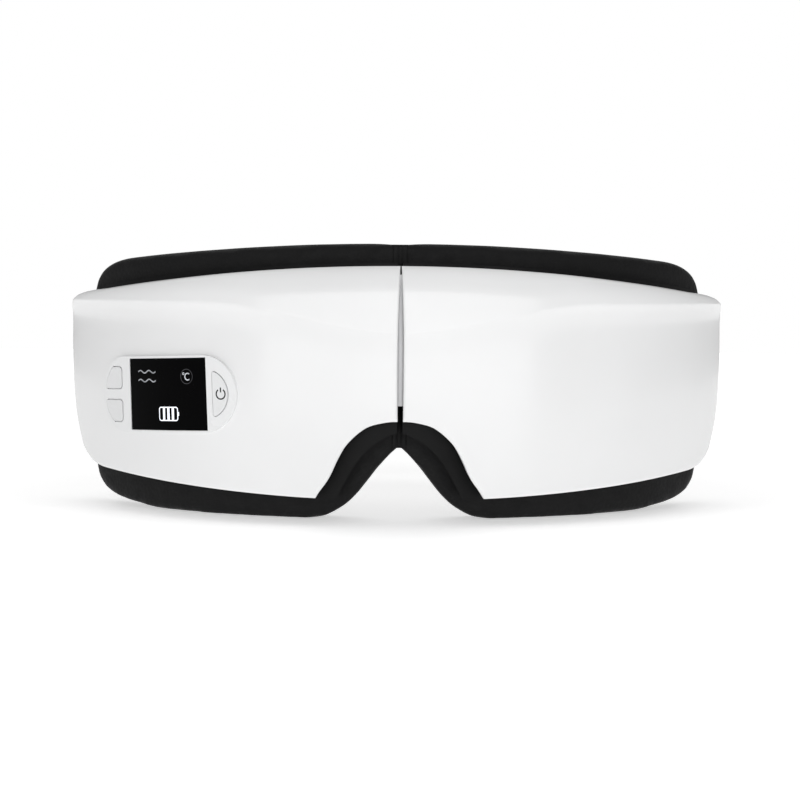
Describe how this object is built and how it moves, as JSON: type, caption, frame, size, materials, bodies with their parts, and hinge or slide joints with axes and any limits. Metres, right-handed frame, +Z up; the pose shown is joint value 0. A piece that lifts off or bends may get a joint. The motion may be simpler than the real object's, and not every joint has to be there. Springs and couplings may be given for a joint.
{
  "type": "eye massager mask",
  "caption": "Foldable eye massager mask: curved white front shells on a centre hinge, control panel with display, black face cushions, air and vibration drives, and an elastic headband.",
  "frame": {"origin": "middle of the bounding box at its base, headband included; the cushions stand on Z = 0", "axes": "+X to the viewer's right as the mask is seen from the front, +Y from the front skin back towards the wearer's face, +Z up. Left and right in names are as seen from the front."},
  "size_m": [0.2152, 0.144, 0.0841],
  "materials": {
    "shell_white": "glossy white moulding",
    "panel_white": "glossy white moulding",
    "button_white": "satin white moulding",
    "display_black": "black display window",
    "lcd_black": "dark display module",
    "frame_black": "satin black moulding",
    "cushion_black": "soft black artificial leather over foam",
    "pad_black": "stretch fabric",
    "bladder_grey": "air bladder",
    "film_amber": "heating film",
    "node_grey": "silicone",
    "cover_silver": "satin silver strip",
    "pin_steel": "plain steel",
    "bar_steel": "dark steel",
    "screw_steel": "plain steel",
    "board_green": "circuit board",
    "chip_black": "plain",
    "switch_metal": "plain",
    "socket_metal": "plain",
    "battery_silver": "foil wrap",
    "pump_grey": "plain",
    "motor_steel": "plain",
    "weight_brass": "plain",
    "valve_white": "plain",
    "hose_clear": "soft tube",
    "speaker_black": "plain",
    "band_black": "woven elastic",
    "patch_black": "hook and loop"
  },
  "bodies": {
    "left_half": {"left_front_shell": "shell_white", "left_back_frame": "frame_black", "left_face_cushion": "cushion_black", "left_airbag": "bladder_grey", "left_heater_film": "film_amber", "left_eye_pad": "pad_black", "left_massage_nodes": "node_grey", "left_shell_screws": "screw_steel", "left_speaker": "speaker_black", "left_vibration_motor": "motor_steel", "left_strap_bar": "bar_steel", "left_headband": "band_black", "control_panel": "panel_white", "display_lens": "display_black", "button_board": "board_green", "button_switches": "switch_metal", "lcd_module": "lcd_black", "board_chips": "chip_black", "usb_socket": "socket_metal", "hinge_pin": "pin_steel", "fastening_patch": "patch_black"},
    "right_half": {"right_front_shell": "shell_white", "right_back_frame": "frame_black", "right_face_cushion": "cushion_black", "right_airbag": "bladder_grey", "right_heater_film": "film_amber", "right_eye_pad": "pad_black", "right_massage_nodes": "node_grey", "right_shell_screws": "screw_steel", "right_speaker": "speaker_black", "right_vibration_motor": "motor_steel", "right_strap_bar": "bar_steel", "right_headband": "band_black", "air_pump": "pump_grey", "air_valve": "valve_white", "air_hose": "hose_clear", "battery": "battery_silver"},
    "hinge_cover": {"hinge_cover": "cover_silver"},
    "mode_button": {"mode_button": "button_white"},
    "heat_button": {"heat_button": "button_white"},
    "power_button": {"power_button": "button_white"},
    "left_vibration_weight": {"left_vibration_weight": "weight_brass"},
    "right_vibration_weight": {"right_vibration_weight": "weight_brass"},
    "pump_eccentric": {"pump_eccentric": "weight_brass"},
    "valve_plunger": {"valve_plunger": "pin_steel"}
  },
  "joints": [
    {"name": "fold", "type": "hinge", "parent": "left_half", "child": "right_half", "pos_m": [0, -0.05, 0.055], "axis": [0, 0, 1], "range_deg": [0, 100], "deforming": ["right_headband", "left_headband", "fastening_patch"]},
    {"name": "cover_turn", "type": "hinge", "parent": "left_half", "child": "hinge_cover", "pos_m": [0, -0.05, 0.055], "axis": [0, 0, 1], "range_deg": [0, 50]},
    {"name": "mode_press", "type": "slide", "parent": "left_half", "child": "mode_button", "axis": [0.6143, 0.7891, 0], "range_m": [0, 0.0006], "stiffness_N_per_m": 900, "springref_m": -0.0006},
    {"name": "heat_press", "type": "slide", "parent": "left_half", "child": "heat_button", "axis": [0.6143, 0.7891, 0], "range_m": [0, 0.0006], "stiffness_N_per_m": 900, "springref_m": -0.0006},
    {"name": "power_press", "type": "slide", "parent": "left_half", "child": "power_button", "axis": [0.6143, 0.7891, 0], "range_m": [0, 0.0006], "stiffness_N_per_m": 900, "springref_m": -0.0006},
    {"name": "left_vibration_spin", "type": "hinge", "parent": "left_half", "child": "left_vibration_weight", "pos_m": [-0.07167, -0.03941, 0.065], "axis": [0, 0, 1], "continuous": true},
    {"name": "right_vibration_spin", "type": "hinge", "parent": "right_half", "child": "right_vibration_weight", "pos_m": [0.07167, -0.03941, 0.065], "axis": [0, 0, 1], "continuous": true},
    {"name": "pump_spin", "type": "hinge", "parent": "right_half", "child": "pump_eccentric", "pos_m": [0.03096, -0.05851, 0.022], "axis": [0, 0, 1], "continuous": true},
    {"name": "valve_lift", "type": "slide", "parent": "right_half", "child": "valve_plunger", "axis": [0, 0, -1], "range_m": [0, 0.0006], "stiffness_N_per_m": 300, "springref_m": -0.0005}
  ],
  "couplings": [
    {"joint": "cover_turn", "follows": "fold", "ratio": 0.5}
  ]
}
